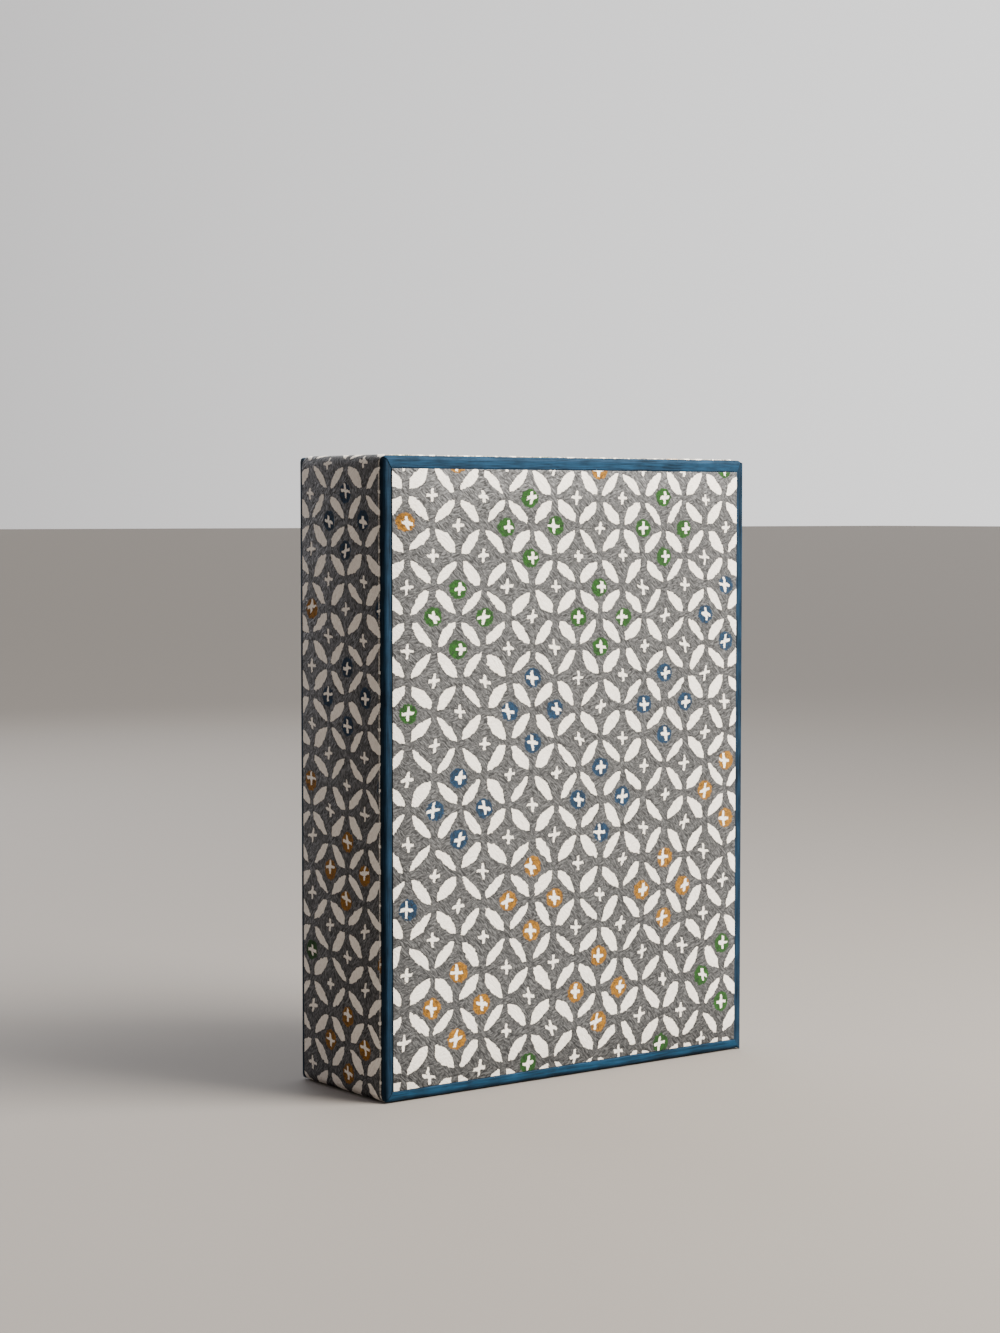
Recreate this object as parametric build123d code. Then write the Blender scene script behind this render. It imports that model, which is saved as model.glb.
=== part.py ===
from build123d import *
from dataclasses import dataclass
import os

# A clamshell book box for papers up to A5, standing closed on its tail edge.
# Sizes are in millimetres.
# X runs from the fore-edge (-) to the spine (+), Y from the front board (-) to the back board (+), Z from tail to head.
# The origin is the middle of the box's foot.
#
# The case is a front board, a spine and a back board in one blue cloth, which bends at the two spine corners.
# The outer tray is glued to the front board, and the inner tray, which it closes over, to the back board.
# Both trays have a head, a tail and a fore-edge wall, and are open towards the spine.

# Outside of the closed box
closed_width = 165.0
closed_height = 225.0
closed_depth = 54.5

# Boards and sheets
case_board_thick = 2.25
tray_board_thick = 2.0
cloth_thick = 0.3
paper_thick = 0.2
lining_thick = 0.2

# Running clearances
board_setback = 0.6        # the case boards end this far inside the outer tray's faces
joint_clearance = 0.1      # a case board's edge to the joint cloth that passes it
spine_edge_clearance = 0.3  # the spine board's long edges to the case boards
outer_rim_clearance = 0.3  # the outer tray's rim to the back board
inner_rim_clearance = 0.5  # the inner tray's rim to the outer tray's floor
tray_end_clearance = 0.5   # the trays' open ends to the spine's lining
fore_edge_clearance = 1.8  # between the two trays at the fore-edge, where the outer one swings
head_clearance = 0.8       # between the two trays at the head and at the tail

# Rounded edges
tray_corner_radius = 3.5
board_corner_radius = 1.5
board_edge_radius = 0.7
joint_cloth_radius = 0.25

# Turned-over paper and the blue margins round the patterned panels
rim_lip = 3.0              # how far the wrap is turned down inside a tray's rim
fore_edge_margin = 2.9
joint_margin = 3.2
head_margin = 4.3
tail_margin = 3.6

# Places along X, from the outside of the spine inwards
fore_x = -closed_width / 2
spine_panel_x = closed_width / 2
joint_x = spine_panel_x - paper_thick
spine_board_x = joint_x - cloth_thick
board_end_x = spine_board_x - joint_clearance
spine_inside_x = spine_board_x - case_board_thick
spine_lining_x = spine_inside_x - lining_thick
tray_end_x = spine_lining_x - tray_end_clearance
board_fore_x = fore_x + board_setback

# Places along Y, from the outside of either case board inwards
panel_y = closed_depth / 2
joint_y = panel_y - paper_thick
board_outside_y = joint_y - cloth_thick
board_inside_y = board_outside_y - case_board_thick
spine_edge_y = board_inside_y - spine_edge_clearance

# Places along Z
board_tail_z = board_setback
board_head_z = closed_height - board_setback
panel_tail_z = board_tail_z + tail_margin
panel_head_z = board_head_z - head_margin

FRONT = -1
BACK = 1


@dataclass
class Tray:
    """A three-walled tray. Its floor is glued to the case board on one side, and its rim faces the other."""

    name: str
    board_side: int
    fore_x: float
    tail_z: float
    depth: float

    @property
    def head_z(self):
        return closed_height - self.tail_z

    def y(self, height):
        """The place of a level this high above the case board that carries the tray."""
        return self.board_side * (board_inside_y - height)


outer_wall_thick = paper_thick + tray_board_thick + lining_thick
tray_floor_thick = tray_board_thick + lining_thick
outer_tray = Tray("outer_tray", FRONT, fore_x, 0.0, 2 * board_inside_y - outer_rim_clearance)
inner_tray = Tray(
    "inner_tray",
    BACK,
    fore_x + outer_wall_thick + fore_edge_clearance,
    outer_wall_thick + head_clearance,
    2 * board_inside_y - tray_floor_thick - inner_rim_clearance,
)


def block(x_span, y_span, z_span):
    """A box between two places on each axis, in either order."""
    spans = (x_span, y_span, z_span)
    sizes = [abs(high - low) for low, high in spans]
    middle = [(low + high) / 2 for low, high in spans]
    return Pos(*middle) * Box(*sizes)


def fore_rounded_block(x_span, y_span, z_span, radius):
    """A block whose two corners at the fore-edge are rounded."""
    body = block(x_span, y_span, z_span)
    corners = body.edges().filter_by(Axis.Y).group_by(Axis.X)[0]
    return fillet(corners, radius)


def case_slab(x_span, z_span, outer_y, inner_y, corner_radius, edge_radius):
    """A board with rounded corners and a softened edge round its outer face."""
    body = block(x_span, (outer_y, inner_y), z_span)
    body = fillet(body.edges().filter_by(Axis.Y), corner_radius)
    faces = body.faces().filter_by(Axis.Y).sort_by(Axis.Y)
    outer_face = faces[-1] if outer_y > inner_y else faces[0]
    return fillet(outer_face.edges(), edge_radius)


def case_board(side):
    """The greyboard of the front or the back of the case."""
    return case_slab(
        (board_fore_x + cloth_thick, board_end_x - cloth_thick),
        (board_tail_z + cloth_thick, board_head_z - cloth_thick),
        side * board_outside_y,
        side * board_inside_y,
        board_corner_radius - cloth_thick,
        board_edge_radius - cloth_thick,
    )


def case_cloth(side):
    """The blue cloth over a case board's outer face and round its four edges."""
    covered = case_slab(
        (board_fore_x, board_end_x),
        (board_tail_z, board_head_z),
        side * joint_y,
        side * board_inside_y,
        board_corner_radius,
        board_edge_radius,
    )
    return covered - case_board(side)


def case_panel(side):
    """The patterned paper on a case board, inside its blue margins."""
    return block(
        (board_fore_x + fore_edge_margin, joint_x - joint_margin),
        (side * joint_y, side * panel_y),
        (panel_tail_z, panel_head_z),
    )


def spine_board():
    """The greyboard of the spine, between the two case boards."""
    return block(
        (spine_inside_x, spine_board_x),
        (-spine_edge_y, spine_edge_y),
        (board_tail_z + cloth_thick, board_head_z - cloth_thick),
    )


def spine_cloth():
    """The blue cloth over the spine, its head and tail, and the two joints out to the corners of the case."""
    sheet = block((spine_board_x, joint_x), (-joint_y, joint_y), (board_tail_z, board_head_z))
    corners = sheet.edges().filter_by(Axis.Z).group_by(Axis.X)[-1]
    cloth = fillet(corners, joint_cloth_radius)
    for low_z in (board_tail_z, board_head_z - cloth_thick):
        z_span = (low_z, low_z + cloth_thick)
        cloth += block((spine_inside_x, spine_board_x), (-spine_edge_y, spine_edge_y), z_span)
    return cloth


def spine_panel():
    """The patterned paper on the spine, inside its blue margins."""
    edge_y = joint_y - joint_margin
    return block((joint_x, spine_panel_x), (-edge_y, edge_y), (panel_tail_z, panel_head_z))


def spine_lining():
    """The lining paper on the inside of the spine."""
    z_span = (board_tail_z, board_head_z)
    return block((spine_lining_x, spine_inside_x), (-spine_edge_y, spine_edge_y), z_span)


def tray_inside(tray, inset, low, high):
    """The space inside a tray's walls, this far in from their outer faces, between two heights."""
    return block(
        (tray.fore_x + inset, tray_end_x),
        (tray.y(low), tray.y(high)),
        (tray.tail_z + inset, tray.head_z - inset),
    )


def tray_outside(tray, inset):
    """The rounded outer form of a tray, this far in from its covered faces."""
    return fore_rounded_block(
        (tray.fore_x + inset, tray_end_x - inset),
        (tray.y(inset), tray.y(tray.depth - inset)),
        (tray.tail_z + inset, tray.head_z - inset),
        tray_corner_radius - inset,
    )


def tray_walls(tray):
    """The head, tail and fore-edge walls, with the fore-edge wall held between the other two."""
    outside = tray_outside(tray, paper_thick)
    levels = (tray.y(0), tray.y(tray.depth))
    tail_face = tray.tail_z + paper_thick + tray_board_thick
    head_face = tray.head_z - paper_thick - tray_board_thick
    fore_face = tray.fore_x + paper_thick + tray_board_thick
    tail = outside & block((tray.fore_x, tray_end_x), levels, (tray.tail_z, tail_face))
    head = outside & block((tray.fore_x, tray_end_x), levels, (head_face, tray.head_z))
    fore_edge = outside & block((tray.fore_x, fore_face), levels, (tail_face, head_face))
    return {"tail_wall": tail, "head_wall": head, "fore_edge_wall": fore_edge}


def tray_end(thick):
    """The last layer of a tray at its open end, this thick."""
    return block((tray_end_x - thick, tray_end_x), (-closed_depth, closed_depth), (0, closed_height))


def tray_base(tray):
    """The tray's floor board, between its walls."""
    floor = tray_inside(tray, paper_thick + tray_board_thick, 0, tray_board_thick)
    return floor - tray_end(lining_thick)


def tray_wrap(tray):
    """The paper round the walls: under the foot, over the rim, round the open ends and a short way down the inside.

    It is made in three lengths, one to a wall, which meet just past the rounded corners.
    """
    wall = paper_thick + tray_board_thick
    lip_foot = tray.depth - paper_thick - rim_lip
    wrap = tray_outside(tray, 0) - tray_outside(tray, paper_thick)
    wrap -= tray_inside(tray, wall, 0, lip_foot)
    wrap += tray_inside(tray, wall, lip_foot, tray.depth)
    wrap -= tray_inside(tray, wall + lining_thick, 0, tray.depth)
    levels = (tray.y(0), tray.y(tray.depth))
    corner_x = tray.fore_x + tray_corner_radius
    middle_z = closed_height / 2
    fore_edge = wrap & block((tray.fore_x, corner_x), levels, (tray.tail_z, tray.head_z))
    tail = wrap & block((corner_x, tray_end_x), levels, (tray.tail_z, middle_z))
    head = wrap & block((corner_x, tray_end_x), levels, (middle_z, tray.head_z))
    return Compound(children=[fore_edge.solid(), tail.solid(), head.solid()])


def tray_wall_lining(tray):
    """The lining paper on the three walls, from the floor board up to the turned-down wrap."""
    wall = paper_thick + tray_board_thick
    top = tray.depth - paper_thick - rim_lip
    lining = tray_inside(tray, wall, tray_board_thick, top)
    lining -= tray_inside(tray, wall + lining_thick, 0, tray.depth)
    return lining - tray_end(paper_thick)


def tray_floor_lining(tray):
    """The lining paper on the floor board, inside the lined walls, and down over the board's open edge."""
    inset = paper_thick + tray_board_thick + lining_thick
    lining = tray_inside(tray, inset, 0, tray_floor_thick)
    return lining - (tray_inside(tray, inset, 0, tray_board_thick) - tray_end(lining_thick))


def tray_pieces(tray):
    """Every piece of one tray, by node name."""
    pieces = {
        "base": tray_base(tray),
        **tray_walls(tray),
        "wrap": tray_wrap(tray),
        "wall_lining": tray_wall_lining(tray),
        "floor_lining": tray_floor_lining(tray),
    }
    return {f"{tray.name}_{name}": piece for name, piece in pieces.items()}


def case_pieces():
    """Every piece of the case, by node name."""
    pieces = {
        "spine_board": spine_board(),
        "spine_cloth": spine_cloth(),
        "spine_panel": spine_panel(),
        "spine_lining": spine_lining(),
    }
    for name, side in (("front", FRONT), ("back", BACK)):
        pieces[f"{name}_board"] = case_board(side)
        pieces[f"{name}_cloth"] = case_cloth(side)
        pieces[f"{name}_panel"] = case_panel(side)
    return pieces


def main():
    os.makedirs("parts", exist_ok=True)
    nodes = {**case_pieces(), **tray_pieces(outer_tray), **tray_pieces(inner_tray)}
    for name, piece in nodes.items():
        export_step(piece, f"parts/{name}.step")
    print(len(nodes), "nodes; the joints turn about", (joint_x, -joint_y), "and", (joint_x, joint_y))
    for tray in (outer_tray, inner_tray):
        print(tray.name, "from the fore-edge at", tray.fore_x, "depth", tray.depth)


main()
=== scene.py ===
# %% [markdown]
# # A clamshell book box
#
# This lesson dresses a box for papers, which stands closed on its tail edge like a book. Two boards and a
# spine in one blue cloth make its case. A tray is glued inside each board, and one closes over the other.
#
# The frame below holds the box's solid pieces in metres: X runs from the fore-edge to the spine, Y from
# front to back, Z upwards. Pieces whose shape is already right only get a finish. Sheets that turn over an
# edge are modelled again, in more detail.

# %% The frame
import math
import bmesh
import bpy
from mathutils import Matrix, Vector


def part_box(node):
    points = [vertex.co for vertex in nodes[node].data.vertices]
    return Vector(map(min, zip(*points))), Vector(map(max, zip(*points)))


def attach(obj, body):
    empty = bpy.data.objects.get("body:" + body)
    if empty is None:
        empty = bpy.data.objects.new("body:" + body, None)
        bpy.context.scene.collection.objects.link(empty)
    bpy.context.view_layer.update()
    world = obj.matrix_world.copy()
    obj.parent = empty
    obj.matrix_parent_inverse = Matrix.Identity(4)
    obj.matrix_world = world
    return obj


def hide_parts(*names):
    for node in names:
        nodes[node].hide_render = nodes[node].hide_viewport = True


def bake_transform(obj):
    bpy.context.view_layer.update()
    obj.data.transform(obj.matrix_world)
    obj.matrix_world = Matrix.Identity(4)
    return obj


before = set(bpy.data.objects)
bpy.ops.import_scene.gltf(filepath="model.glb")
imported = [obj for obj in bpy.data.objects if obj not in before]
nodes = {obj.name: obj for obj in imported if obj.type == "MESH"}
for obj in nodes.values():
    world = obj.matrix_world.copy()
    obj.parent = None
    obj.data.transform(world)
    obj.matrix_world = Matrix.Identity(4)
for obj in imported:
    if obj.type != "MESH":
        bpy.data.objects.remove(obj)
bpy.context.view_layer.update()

MM = 0.001
FRONT, BACK = -1, 1
HALVES = ((FRONT, "front", "front_half"), (BACK, "back", "back_half"))    # side, its pieces' names, its body

# %% [markdown]
# ## How the finishes are written
#
# A finish could be a picture laid on each piece. Here every finish is a small network of nodes instead, so
# that it holds its detail at any distance and needs no file. One function turns a colour as it is picked on
# a screen into the linear colour that Blender adds up light in. Another adds one node of any kind, with its
# settings and its links, which keeps each network short enough to read.

# %% Colour
def linear(hex_colour):
    """An sRGB colour such as "#2a5878" as Blender's linear colour, by the standard's own curve."""
    channels = [int(hex_colour[start:start + 2], 16) / 255 for start in (1, 3, 5)]
    low = [channel / 12.92 for channel in channels]
    high = [((channel + 0.055) / 1.055) ** 2.4 for channel in channels]
    return tuple(a if channel <= 0.04045 else b for channel, a, b in zip(channels, low, high)) + (1.0,)


print("a mid blue in linear light:", [round(channel, 3) for channel in linear("#2a5878")])

# %% Nodes
# A Mix node has sockets for numbers and for colours under the same names, so they are picked by their order.
FACTOR, NUMBER_A, NUMBER_B, COLOUR_A, COLOUR_B = 0, 2, 3, 6, 7
# Settings that many nodes share
NUMBER_MIX = {"data_type": "FLOAT"}
COLOUR_MIX = {"data_type": "RGBA", "out": 2}
TINT = {"blend_type": "MULTIPLY", **COLOUR_MIX}
DOT = {"operation": "DOT_PRODUCT", "out": "Value"}
SOFT_STEP = {"interpolation_type": "SMOOTHSTEP"}


def add(tree, kind, *inputs, out=0, **settings):
    """Adds a node, sets it, links it and gives back one output. Inputs are by order, or a dict by name."""
    node = tree.nodes.new("ShaderNode" + kind)
    for name, value in settings.items():
        setattr(node, name, value)
    named = inputs[0] if inputs and isinstance(inputs[0], dict) else dict(enumerate(inputs))
    for socket, value in named.items():
        if isinstance(value, bpy.types.NodeSocket):
            tree.links.new(value, node.inputs[socket])
        else:
            node.inputs[socket].default_value = value
    return node.outputs[out] if node.outputs else node


def new_finish(name):
    """An empty material and its node tree."""
    finish = bpy.data.materials.new(name)
    finish.use_nodes = True
    finish.node_tree.nodes.clear()
    return finish, finish.node_tree


def object_mm(tree):
    """The place on the box in mm."""
    place = add(tree, "TexCoord", out="Object")
    return add(tree, "VectorMath", place, (1 / MM,) * 3, operation="MULTIPLY")


print("a colour mix is set by", COLOUR_MIX)

# %% [markdown]
# ## Stencilled paper
#
# The paper on the outside is strong, long-fibred handmade paper, printed through a hand-cut stencil with
# dull grey. What stays white is a common old pattern: circles that interlock, so that only their
# almond-shaped overlaps show. A small cross sits in each space between four almonds. Here and there a spot
# of green, blue or ochre is brushed behind four crosses.
#
# Every almond could be drawn by itself, but the pattern repeats, so one cell is worked out from the place
# on the sheet and the sheet's UV map, which counts metres of paper. Each shape is a depth in mm, above 0
# inside it, so that shapes join by a maximum and fray by a sum. White noise, read once for a cell, makes
# each almond and cross a little different, as a knife does.

# %% The stencil's sizes, in mm
HALF_ACROSS = 10.38      # from one row of crosses to the next, across the sheet
HALF_UP = 11.22          # and up the sheet
ALMOND_HALF_LENGTH = 6.6
ALMOND_HALF_WIDTH = 1.93
BRIDGE = 1.3             # half the paper left between the tips of two almonds
TIP_SOFTNESS = 0.5       # how softly a tip is rounded
CROSS_HALF_HEIGHT = 2.5
CROSS_HALF_WIDTH = 2.3
CROSS_ARM = 0.68         # half the width of a cross's arm
ARM_NARROWING = -0.1     # and what it loses for each mm outwards
CROSS_SOFTNESS = 0.18    # how softly the arms meet
CUT_EDGE = 0.09          # how far the colour creeps at a cut edge
diagonal = Vector((HALF_ACROSS, HALF_UP)).normalized()
print("an almond lies at", round(math.degrees(math.atan2(diagonal.y, diagonal.x)), 1), "degrees")

# %% How unevenly it is cut
# Each number is a whole range, from the least to the most, in mm unless it says otherwise.
ALMOND_STRAY = 0.9       # its place
ALMOND_FATTER = 0.9      # its half width
ALMOND_BOW = 2.4         # how far its tips bend aside
ALMOND_LEAN = 0.24       # mm across for each mm along
ALMOND_TAPER = 0.7       # a share of its width, from tip to tip
CROSS_STRAY = 1.1
CROSS_LARGER = 0.7       # its half height and half width
CROSS_LEAN = 0.35        # mm across for each mm along
SECOND_DRAW = (0.37, 0.71, 0)    # a step inside the cell, where the noise gives other numbers


def centred(tree, noise):
    """Turns noise from 0 to 1 into numbers from -0.5 to 0.5."""
    return add(tree, "VectorMath", noise, (0.5, 0.5, 0.5), operation="SUBTRACT")


def knife_chance(tree, point):
    """Three numbers from -0.5 to 0.5, the same all over one cell or cross."""
    return centred(tree, add(tree, "TexWhiteNoise", {"Vector": point}, noise_dimensions="2D", out="Color"))


print("an almond is", ALMOND_HALF_WIDTH * 2, "mm wide, give or take", ALMOND_FATTER, "mm")


# %% Almonds
def almonds(tree, lattice):
    """How deep inside an almond a place is. Each cell holds one, between the cell's two odd corners."""
    cell = add(tree, "VectorMath", lattice, operation="FLOOR")
    fraction = add(tree, "VectorMath", lattice, operation="FRACTION")
    inside = add(tree, "VectorMath", fraction, (0.5, 0.5, 0), operation="SUBTRACT")
    in_mm = add(tree, "VectorMath", inside, (HALF_ACROSS, HALF_UP, 0), operation="MULTIPLY")
    # Every second cell is a mirror image.
    corner_sum = add(tree, "VectorMath", cell, (1, 1, 0), **DOT)
    odd = add(tree, "Math", corner_sum, 1.0, operation="PINGPONG")
    mirror = add(tree, "Math", odd, 2.0, -1.0, operation="MULTIPLY_ADD")
    flip = add(tree, "CombineXYZ", mirror, 1.0, 0.0)
    turned = add(tree, "VectorMath", in_mm, flip, operation="MULTIPLY")
    chance = knife_chance(tree, cell)
    second_chance = knife_chance(tree, add(tree, "VectorMath", cell, SECOND_DRAW, operation="ADD"))
    lean, fatter, bow = [add(tree, "SeparateXYZ", second_chance, out=axis) for axis in "XYZ"]
    taper = add(tree, "SeparateXYZ", chance, out="Z")
    place = add(tree, "VectorMath", chance, (ALMOND_STRAY, ALMOND_STRAY, 0), turned, operation="MULTIPLY_ADD")
    along = add(tree, "VectorMath", place, (diagonal.x, diagonal.y, 0), **DOT)
    across = add(tree, "VectorMath", place, (-diagonal.y, diagonal.x, 0), **DOT)
    reach = add(tree, "Math", along, ALMOND_HALF_LENGTH, operation="DIVIDE")
    reach_squared = add(tree, "Math", reach, reach, operation="MULTIPLY")
    # The long axis leans and bows.
    leans = add(tree, "Math", along, lean, operation="MULTIPLY")
    leaning = add(tree, "Math", leans, ALMOND_LEAN, across, operation="MULTIPLY_ADD")
    bows = add(tree, "Math", reach_squared, bow, operation="MULTIPLY")
    bowing = add(tree, "Math", bows, ALMOND_BOW, leaning, operation="MULTIPLY_ADD")
    off_axis = add(tree, "Math", bowing, operation="ABSOLUTE")
    # The half width falls from the middle to the tips as a parabola does.
    tapers = add(tree, "Math", reach, taper, operation="MULTIPLY")
    tapering = add(tree, "Math", tapers, ALMOND_TAPER, 1.0, operation="MULTIPLY_ADD")
    fattened = add(tree, "Math", fatter, ALMOND_FATTER, ALMOND_HALF_WIDTH, operation="MULTIPLY_ADD")
    widest = add(tree, "Math", fattened, tapering, operation="MULTIPLY")
    parabola = add(tree, "Math", 1.0, reach_squared, operation="SUBTRACT")
    half_width = add(tree, "Math", widest, parabola, operation="MULTIPLY")
    side = add(tree, "Math", half_width, off_axis, operation="SUBTRACT")
    # The tips stop short of the cell's edge, which leaves the bridges.
    room = (HALF_ACROSS / 2 - BRIDGE, HALF_UP / 2 - BRIDGE, 1)
    from_middle = add(tree, "VectorMath", place, operation="ABSOLUTE")
    left = add(tree, "VectorMath", room, from_middle, operation="SUBTRACT")
    left_across, left_up = [add(tree, "SeparateXYZ", left, out=axis) for axis in "XY"]
    tips = add(tree, "Math", left_across, left_up, operation="MINIMUM")
    return add(tree, "Math", side, tips, TIP_SOFTNESS, operation="SMOOTH_MIN")


print("two almonds' tips are", 2 * BRIDGE, "mm apart, across the sheet and up it")


# %% Crosses
def nearest_crossing(tree, lattice):
    """The nearest point of the lattice whose two numbers add up to an even number."""
    total = add(tree, "VectorMath", lattice, (0.5, 0.5, 0), **DOT)
    difference = add(tree, "VectorMath", lattice, (0.5, -0.5, 0), **DOT)
    halves = [add(tree, "Math", half, operation="ROUND") for half in (total, difference)]
    across = add(tree, "Math", *halves, operation="ADD")
    up = add(tree, "Math", *halves, operation="SUBTRACT")
    return add(tree, "CombineXYZ", across, up, 0.0)


def crosses(tree, crossing, in_mm, chance):
    """How deep inside a cross a place is, from its place beside the crossing and the cross's chances."""
    place = add(tree, "VectorMath", chance, (CROSS_STRAY, CROSS_STRAY, 0), in_mm, operation="MULTIPLY_ADD")
    right, up = [add(tree, "SeparateXYZ", place, out=axis) for axis in "XY"]
    larger, leaning = [add(tree, "SeparateXYZ", chance, out=axis) for axis in "XZ"]
    size = add(tree, "Math", larger, CROSS_LARGER, operation="MULTIPLY")
    lean = add(tree, "Math", leaning, CROSS_LEAN, operation="MULTIPLY")
    sheared_right = add(tree, "Math", up, lean, right, operation="MULTIPLY_ADD")
    sheared_up = add(tree, "Math", right, lean, up, operation="MULTIPLY_ADD")
    x, y = [add(tree, "Math", sheared, operation="ABSOLUTE") for sheared in (sheared_right, sheared_up)]
    arms = []
    for outwards, half_length, sideways in ((y, CROSS_HALF_HEIGHT, x), (x, CROSS_HALF_WIDTH, y)):
        length = add(tree, "Math", size, half_length, operation="ADD")
        end = add(tree, "Math", length, outwards, operation="SUBTRACT")
        narrowed = add(tree, "Math", outwards, ARM_NARROWING, CROSS_ARM, operation="MULTIPLY_ADD")
        flank = add(tree, "Math", narrowed, sideways, operation="SUBTRACT")
        arms.append(add(tree, "Math", end, flank, operation="MINIMUM"))
    return add(tree, "Math", *arms, CROSS_SOFTNESS, operation="SMOOTH_MAX")


print("a cross is", 2 * CROSS_HALF_WIDTH, "x", 2 * CROSS_HALF_HEIGHT, "mm")

# %% [markdown]
# ### Spots
#
# Before the grey went on, a brush with a little colour was dabbed over the stencil at some crosses. The
# spots could be listed one by one, but they follow a plain rule, so the rule is written down. Every third
# lattice point starts a group, and the four crosses round it share one colour. Two rows of groups have the
# same colour before it changes from green to blue to ochre, and so do every four groups along a row.

# %% Brushed spots
SPOT_COLOURS = ("#0f3b00", "#00233a", "#784f00")    # green, blue and ochre
SPOT_RADII = (3.6, 3.45, 1.0)    # mm across and up; the sheet has no third way, and 1 leaves it as it is
SPOT_STRAY = (-1.3, 1.5, 0)    # how far the brush strays from the cross
SPOT_RAGGED = 0.14       # a share of the radius
SPOT_BEGINS = 1.12       # shares of the radius between which the brush's edge thins out
SPOT_FULL = 1.04
GROUP_STEP = 3           # lattice points from group to group
ONE_STEP_AWAY = 1.5      # less than two steps from the group's middle
GROUPS_ALONG = 4.0       # groups of one colour along a row
GROUPS_UP = 2.0          # and rows of one colour


def spot_colour(tree, group):
    """The colour of a group's spots."""
    group_across, group_up = [add(tree, "SeparateXYZ", group, out=axis) for axis in "XY"]
    along = add(tree, "Math", group_across, 1.0, operation="ADD")
    bands = add(tree, "Math", add(tree, "Math", along, GROUPS_ALONG, operation="DIVIDE"), operation="FLOOR")
    rows = add(tree, "Math", add(tree, "Math", group_up, -GROUPS_UP, operation="DIVIDE"), operation="FLOOR")
    count = add(tree, "Math", add(tree, "Math", bands, rows, operation="ADD"), 1.0, operation="ADD")
    third = add(tree, "Math", count, len(SPOT_COLOURS), operation="FLOORED_MODULO")
    green, blue, ochre = [linear(colour) for colour in SPOT_COLOURS]
    is_blue = add(tree, "Math", third, 0.5, operation="GREATER_THAN")
    is_ochre = add(tree, "Math", third, 1.5, operation="GREATER_THAN")
    cool = add(tree, "Mix", {FACTOR: is_blue, COLOUR_A: green, COLOUR_B: blue}, **COLOUR_MIX)
    return add(tree, "Mix", {FACTOR: is_ochre, COLOUR_A: cool, COLOUR_B: ochre}, **COLOUR_MIX)


def spots(tree, crossing, in_mm, chance, streaks):
    """Where a spot is brushed behind a cross, and its colour."""
    # A group's middle lies one lattice point beside a crossing.
    shifted = add(tree, "VectorMath", crossing, (1, 0, 0), operation="SUBTRACT")
    scaled = add(tree, "VectorMath", shifted, (1 / GROUP_STEP, 1 / GROUP_STEP, 0), operation="MULTIPLY")
    group = nearest_crossing(tree, scaled)
    middle = add(tree, "VectorMath", group, (GROUP_STEP, GROUP_STEP, 0), operation="MULTIPLY")
    apart = add(tree, "VectorMath", shifted, middle, operation="SUBTRACT")
    steps = add(tree, "VectorMath", add(tree, "VectorMath", apart, operation="ABSOLUTE"), (1, 1, 0), **DOT)
    in_group = add(tree, "Math", steps, ONE_STEP_AWAY, operation="LESS_THAN")
    strayed = add(tree, "VectorMath", chance, SPOT_STRAY, in_mm, operation="MULTIPLY_ADD")
    shares = add(tree, "VectorMath", strayed, SPOT_RADII, operation="DIVIDE")
    radius = add(tree, "VectorMath", shares, operation="LENGTH", out="Value")
    ragged = add(tree, "Math", streaks, SPOT_RAGGED, radius, operation="MULTIPLY_ADD")
    brushed = add(tree, "MapRange", {"Value": ragged, "From Min": SPOT_BEGINS, "From Max": SPOT_FULL})
    spot = add(tree, "Math", brushed, in_group, operation="MULTIPLY")
    return spot, spot_colour(tree, group)


print(len(SPOT_COLOURS), "spot colours, each spot", 2 * SPOT_RADII[0], "mm across")

# %% [markdown]
# ### The grey
#
# The grey isn't flat. Long fibres in the sheet hold more or less of the colour that is brushed over them,
# and run one way in some patches and another way in others. The sheet was crumpled and flattened before it
# was printed, which leaves hairlines. The grey is also made darker in a band just outside the white
# shapes. Plain noise would look like cloud, so it is drawn out into fibres first.

# %% Fibres and hairlines
FIBRE_MM = 0.64          # from one fibre, about 0.3 mm wide, to the next
PATCH_MM = 7.692         # the patches in which fibres run one way
CRUMPLE_MM = 13.33       # from hairline to hairline
CRUMPLE_BEND = 9         # how far a hairline wanders


def fibres(tree, mm, angle, stretch):
    """Fine wavy lines that run mostly one way, from 0 to 1."""
    turned = add(tree, "VectorRotate", {"Vector": mm, "Angle": math.radians(angle)}, rotation_type="Z_AXIS")
    drawn = add(tree, "VectorMath", turned, (1 / stretch, 1, 1), operation="MULTIPLY")
    wavy = {"Vector": drawn, "Scale": 1 / FIBRE_MM, "Detail": 2.0, "Roughness": 0.55, "Distortion": 0.5}
    noise = add(tree, "TexNoise", wavy, noise_dimensions="2D")
    return add(tree, "MapRange", {"Value": noise, "From Min": 0.3, "From Max": 0.7})


def tangled_fibres(tree, mm):
    """The fibres of the whole sheet, from 0 in its hollows to 1 on top of them, and its patches."""
    falling = fibres(tree, mm, angle=45, stretch=3.2)
    rising = fibres(tree, mm, angle=-20, stretch=2.8)
    patch = add(tree, "TexNoise", {"Vector": mm, "Scale": 1 / PATCH_MM, "Detail": 1.0}, noise_dimensions="2D")
    way = add(tree, "MapRange", {"Value": patch, "From Min": 0.44, "From Max": 0.6}, **SOFT_STEP)
    return add(tree, "Mix", {FACTOR: way, NUMBER_A: falling, NUMBER_B: rising}, **NUMBER_MIX), patch


def hairlines(tree, mm, knife):
    """The lines along which the sheet was crumpled, 1 on them and 0 beside them."""
    bent = add(tree, "VectorMath", knife, (CRUMPLE_BEND, CRUMPLE_BEND, 0), mm, operation="MULTIPLY_ADD")
    crumple = {"Vector": bent, "Scale": 1 / CRUMPLE_MM}
    from_line = add(tree, "TexVoronoi", crumple, voronoi_dimensions="2D", feature="DISTANCE_TO_EDGE")
    thin = {"Value": from_line, "From Min": 0.0, "From Max": 0.014, "To Min": 1.0, "To Max": 0.0}
    return add(tree, "MapRange", thin)


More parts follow.
